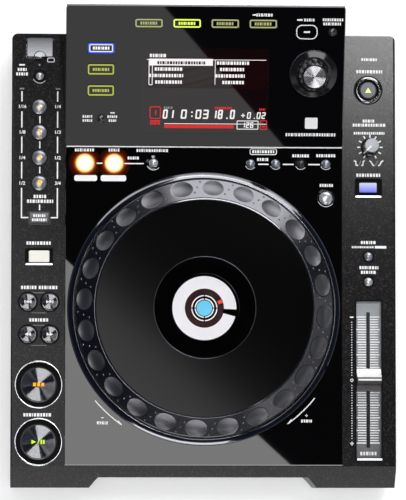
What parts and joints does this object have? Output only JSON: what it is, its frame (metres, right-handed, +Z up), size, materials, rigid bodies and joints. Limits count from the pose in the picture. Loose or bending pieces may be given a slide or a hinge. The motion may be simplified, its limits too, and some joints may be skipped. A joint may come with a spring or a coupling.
{
  "type": "tabletop dj cd player",
  "caption": "Slot-loading disc player for mixing, with a tilted display head, a large dimpled jog wheel, cue and play keys and a tempo fader.",
  "frame": {"origin": "centre of the bounding box's base, on the table under the player", "axes": "+X to the right, -Y towards the person who plays it, +Z up"},
  "size_m": [0.305, 0.379, 0.1065],
  "materials": {
    "case": "matte black with a fine metal flake",
    "gloss_panel": "piano black gloss",
    "screen": "dark glass with red, white and orange characters",
    "jog_trim": "satin black",
    "metal": "brushed",
    "jog_lamp": "white light ring on black",
    "socket": "black moulding with plated contacts",
    "board": "solder-masked board",
    "fader_plate": "grey scale plate",
    "rubber": "soft rubber",
    "jog_grey": "satin grey",
    "jog_plate": "satin black",
    "clear": "clear smoked acrylic",
    "knob": "black with a spun metal face",
    "pale_knob": "pale satin silver",
    "lid": "satin silver",
    "dark_plastic": "plain moulding",
    "key_metal": "spun satin metal",
    "lit_key": "lit orange-white",
    "blue_key": "lit blue-white",
    "gloss_key": "gloss black with a lit frame"
  },
  "bodies": {
    "chassis": {"lower_case": "case", "upper_case": "case", "deck_panel": "gloss_panel", "display_panel": "gloss_panel", "display_screen": "screen", "jog_ring": "jog_trim", "jog_bearing": "metal", "jog_display": "jog_lamp", "sockets": "socket", "circuit_boards": "board", "disc_drive": "metal", "tempo_fader": "fader_plate", "rubber_feet": "rubber", "case_screws": "metal"},
    "jog_dial": {"jog_dial": "jog_grey"},
    "jog_plate": {"jog_plate": "jog_plate", "jog_window": "clear"},
    "selector_shaft": {"selector_shaft": "metal"},
    "selector_knob": {"selector_knob": "knob"},
    "speed_knob": {"speed_knob": "pale_knob"},
    "tempo_slider": {"tempo_slider": "pale_knob"},
    "usb_lid": {"usb_lid": "lid"},
    "disc_turntable": {"disc_turntable": "dark_plastic"},
    "loading_roller": {"loading_roller": "rubber"},
    "power_switch": {"power_switch": "dark_plastic"},
    "usb_stop_button": {"usb_stop_button": "key_metal"},
    "beat_loop_1_button": {"beat_loop_1_button": "key_metal"},
    "beat_loop_2_button": {"beat_loop_2_button": "key_metal"},
    "beat_loop_4_button": {"beat_loop_4_button": "key_metal"},
    "beat_loop_8_button": {"beat_loop_8_button": "key_metal"},
    "track_back_button": {"track_back_button": "key_metal"},
    "track_forward_button": {"track_forward_button": "key_metal"},
    "search_back_button": {"search_back_button": "key_metal"},
    "search_forward_button": {"search_forward_button": "key_metal"},
    "cue_button": {"cue_button": "key_metal"},
    "play_button": {"play_button": "key_metal"},
    "eject_button": {"eject_button": "key_metal"},
    "tempo_range_button": {"tempo_range_button": "key_metal"},
    "master_tempo_button": {"master_tempo_button": "key_metal"},
    "loop_in_button": {"loop_in_button": "lit_key"},
    "loop_out_button": {"loop_out_button": "lit_key"},
    "reloop_button": {"reloop_button": "key_metal"},
    "call_back_button": {"call_back_button": "key_metal"},
    "call_forward_button": {"call_forward_button": "key_metal"},
    "delete_button": {"delete_button": "key_metal"},
    "memory_button": {"memory_button": "key_metal"},
    "slip_button": {"slip_button": "key_metal"},
    "loop_select_button": {"loop_select_button": "pale_knob"},
    "direction_button": {"direction_button": "pale_knob"},
    "jog_mode_button": {"jog_mode_button": "blue_key"},
    "link_source_button": {"link_source_button": "gloss_key"},
    "usb_source_button": {"usb_source_button": "gloss_key"},
    "disc_source_button": {"disc_source_button": "gloss_key"},
    "browse_button": {"browse_button": "gloss_key"},
    "tag_list_button": {"tag_list_button": "gloss_key"},
    "info_button": {"info_button": "gloss_key"},
    "menu_button": {"menu_button": "gloss_key"},
    "back_button": {"back_button": "gloss_key"},
    "time_mode_button": {"time_mode_button": "key_metal"},
    "tag_track_button": {"tag_track_button": "key_metal"}
  },
  "joints": [
    {"name": "jog_spin", "type": "hinge", "parent": "chassis", "child": "jog_dial", "pos_m": [0, -0.04809, 0.08], "axis": [0, 0, 1], "continuous": true},
    {"name": "jog_touch", "type": "slide", "parent": "jog_dial", "child": "jog_plate", "axis": [0, 0, -1], "range_m": [0, 0.0003], "stiffness_N_per_m": 8000, "springref_m": -0.001},
    {"name": "selector_press", "type": "slide", "parent": "chassis", "child": "selector_shaft", "axis": [0, 0.3007, -0.9537], "range_m": [0, 0.0008], "stiffness_N_per_m": 900, "springref_m": -0.0015},
    {"name": "selector_turn", "type": "hinge", "parent": "selector_shaft", "child": "selector_knob", "pos_m": [0.0855, 0.13707, 0.08986], "axis": [0, -0.3007, 0.9537], "continuous": true},
    {"name": "speed_knob_turn", "type": "hinge", "parent": "chassis", "child": "speed_knob", "pos_m": [0.1322, 0.08092, 0.07], "axis": [0, 0, 1], "range_deg": [-270, 0]},
    {"name": "tempo_slide", "type": "slide", "parent": "chassis", "child": "tempo_slider", "axis": [0, -1, 0], "range_m": [-0.05, 0.05]},
    {"name": "usb_lid_hinge", "type": "hinge", "parent": "chassis", "child": "usb_lid", "pos_m": [-0.1304, 0.16526, 0.0685], "axis": [-1, 0, 0], "range_deg": [0, 95]},
    {"name": "disc_spin", "type": "hinge", "parent": "chassis", "child": "disc_turntable", "pos_m": [0, -0.10268, 0.03], "axis": [0, 0, 1], "continuous": true},
    {"name": "roller_spin", "type": "hinge", "parent": "chassis", "child": "loading_roller", "pos_m": [0, -0.16468, 0.0327], "axis": [1, 0, 0], "continuous": true},
    {"name": "power_press", "type": "slide", "parent": "chassis", "child": "power_switch", "axis": [0, -1, 0], "range_m": [0, 0.0025]},
    {"name": "usb_stop_press", "type": "slide", "parent": "chassis", "child": "usb_stop_button", "axis": [0, 0, -1], "range_m": [0, 0.0008], "stiffness_N_per_m": 500, "springref_m": -0.0012},
    {"name": "beat_loop_1_press", "type": "slide", "parent": "chassis", "child": "beat_loop_1_button", "axis": [0, 0, -1], "range_m": [0, 0.0008], "stiffness_N_per_m": 500, "springref_m": -0.0012},
    {"name": "beat_loop_2_press", "type": "slide", "parent": "chassis", "child": "beat_loop_2_button", "axis": [0, 0, -1], "range_m": [0, 0.0008], "stiffness_N_per_m": 500, "springref_m": -0.0012},
    {"name": "beat_loop_4_press", "type": "slide", "parent": "chassis", "child": "beat_loop_4_button", "axis": [0, 0, -1], "range_m": [0, 0.0008], "stiffness_N_per_m": 500, "springref_m": -0.0012},
    {"name": "beat_loop_8_press", "type": "slide", "parent": "chassis", "child": "beat_loop_8_button", "axis": [0, 0, -1], "range_m": [0, 0.0008], "stiffness_N_per_m": 500, "springref_m": -0.0012},
    {"name": "track_back_press", "type": "slide", "parent": "chassis", "child": "track_back_button", "axis": [0, 0, -1], "range_m": [0, 0.0008], "stiffness_N_per_m": 500, "springref_m": -0.0012},
    {"name": "track_forward_press", "type": "slide", "parent": "chassis", "child": "track_forward_button", "axis": [0, 0, -1], "range_m": [0, 0.0008], "stiffness_N_per_m": 500, "springref_m": -0.0012},
    {"name": "search_back_press", "type": "slide", "parent": "chassis", "child": "search_back_button", "axis": [0, 0, -1], "range_m": [0, 0.0008], "stiffness_N_per_m": 500, "springref_m": -0.0012},
    {"name": "search_forward_press", "type": "slide", "parent": "chassis", "child": "search_forward_button", "axis": [0, 0, -1], "range_m": [0, 0.0008], "stiffness_N_per_m": 500, "springref_m": -0.0012},
    {"name": "cue_press", "type": "slide", "parent": "chassis", "child": "cue_button", "axis": [0, 0, -1], "range_m": [0, 0.0008], "stiffness_N_per_m": 500, "springref_m": -0.0012},
    {"name": "play_press", "type": "slide", "parent": "chassis", "child": "play_button", "axis": [0, 0, -1], "range_m": [0, 0.0008], "stiffness_N_per_m": 500, "springref_m": -0.0012},
    {"name": "eject_press", "type": "slide", "parent": "chassis", "child": "eject_button", "axis": [0, 0, -1], "range_m": [0, 0.0008], "stiffness_N_per_m": 500, "springref_m": -0.0012},
    {"name": "tempo_range_press", "type": "slide", "parent": "chassis", "child": "tempo_range_button", "axis": [0, 0, -1], "range_m": [0, 0.0008], "stiffness_N_per_m": 500, "springref_m": -0.0012},
    {"name": "master_tempo_press", "type": "slide", "parent": "chassis", "child": "master_tempo_button", "axis": [0, 0, -1], "range_m": [0, 0.0008], "stiffness_N_per_m": 500, "springref_m": -0.0012},
    {"name": "loop_in_press", "type": "slide", "parent": "chassis", "child": "loop_in_button", "axis": [0, 0, -1], "range_m": [0, 0.0008], "stiffness_N_per_m": 500, "springref_m": -0.0012},
    {"name": "loop_out_press", "type": "slide", "parent": "chassis", "child": "loop_out_button", "axis": [0, 0, -1], "range_m": [0, 0.0008], "stiffness_N_per_m": 500, "springref_m": -0.0012},
    {"name": "reloop_press", "type": "slide", "parent": "chassis", "child": "reloop_button", "axis": [0, 0, -1], "range_m": [0, 0.0008], "stiffness_N_per_m": 500, "springref_m": -0.0012},
    {"name": "call_back_press", "type": "slide", "parent": "chassis", "child": "call_back_button", "axis": [0, 0, -1], "range_m": [0, 0.0008], "stiffness_N_per_m": 500, "springref_m": -0.0012},
    {"name": "call_forward_press", "type": "slide", "parent": "chassis", "child": "call_forward_button", "axis": [0, 0, -1], "range_m": [0, 0.0008], "stiffness_N_per_m": 500, "springref_m": -0.0012},
    {"name": "delete_press", "type": "slide", "parent": "chassis", "child": "delete_button", "axis": [0, 0, -1], "range_m": [0, 0.0008], "stiffness_N_per_m": 500, "springref_m": -0.0012},
    {"name": "memory_press", "type": "slide", "parent": "chassis", "child": "memory_button", "axis": [0, 0, -1], "range_m": [0, 0.0008], "stiffness_N_per_m": 500, "springref_m": -0.0012},
    {"name": "slip_press", "type": "slide", "parent": "chassis", "child": "slip_button", "axis": [0, 0, -1], "range_m": [0, 0.0008], "stiffness_N_per_m": 500, "springref_m": -0.0012},
    {"name": "loop_select_press", "type": "slide", "parent": "chassis", "child": "loop_select_button", "axis": [0, 0, -1], "range_m": [0, 0.0008], "stiffness_N_per_m": 500, "springref_m": -0.0012},
    {"name": "direction_press", "type": "slide", "parent": "chassis", "child": "direction_button", "axis": [0, 0, -1], "range_m": [0, 0.0008], "stiffness_N_per_m": 500, "springref_m": -0.0012},
    {"name": "jog_mode_press", "type": "slide", "parent": "chassis", "child": "jog_mode_button", "axis": [0, 0, -1], "range_m": [0, 0.0008], "stiffness_N_per_m": 500, "springref_m": -0.0012},
    {"name": "link_source_press", "type": "slide", "parent": "chassis", "child": "link_source_button", "axis": [0, 0.3007, -0.9537], "range_m": [0, 0.0008], "stiffness_N_per_m": 500, "springref_m": -0.0012},
    {"name": "usb_source_press", "type": "slide", "parent": "chassis", "child": "usb_source_button", "axis": [0, 0.3007, -0.9537], "range_m": [0, 0.0008], "stiffness_N_per_m": 500, "springref_m": -0.0012},
    {"name": "disc_source_press", "type": "slide", "parent": "chassis", "child": "disc_source_button", "axis": [0, 0.3007, -0.9537], "range_m": [0, 0.0008], "stiffness_N_per_m": 500, "springref_m": -0.0012},
    {"name": "browse_press", "type": "slide", "parent": "chassis", "child": "browse_button", "axis": [0, 0.3007, -0.9537], "range_m": [0, 0.0008], "stiffness_N_per_m": 500, "springref_m": -0.0012},
    {"name": "tag_list_press", "type": "slide", "parent": "chassis", "child": "tag_list_button", "axis": [0, 0.3007, -0.9537], "range_m": [0, 0.0008], "stiffness_N_per_m": 500, "springref_m": -0.0012},
    {"name": "info_press", "type": "slide", "parent": "chassis", "child": "info_button", "axis": [0, 0.3007, -0.9537], "range_m": [0, 0.0008], "stiffness_N_per_m": 500, "springref_m": -0.0012},
    {"name": "menu_press", "type": "slide", "parent": "chassis", "child": "menu_button", "axis": [0, 0.3007, -0.9537], "range_m": [0, 0.0008], "stiffness_N_per_m": 500, "springref_m": -0.0012},
    {"name": "back_press", "type": "slide", "parent": "chassis", "child": "back_button", "axis": [0, 0.3007, -0.9537], "range_m": [0, 0.0008], "stiffness_N_per_m": 500, "springref_m": -0.0012},
    {"name": "time_mode_press", "type": "slide", "parent": "chassis", "child": "time_mode_button", "axis": [0, 0.3007, -0.9537], "range_m": [0, 0.0008], "stiffness_N_per_m": 500, "springref_m": -0.0012},
    {"name": "tag_track_press", "type": "slide", "parent": "chassis", "child": "tag_track_button", "axis": [0, 0.3007, -0.9537], "range_m": [0, 0.0008], "stiffness_N_per_m": 500, "springref_m": -0.0012}
  ]
}
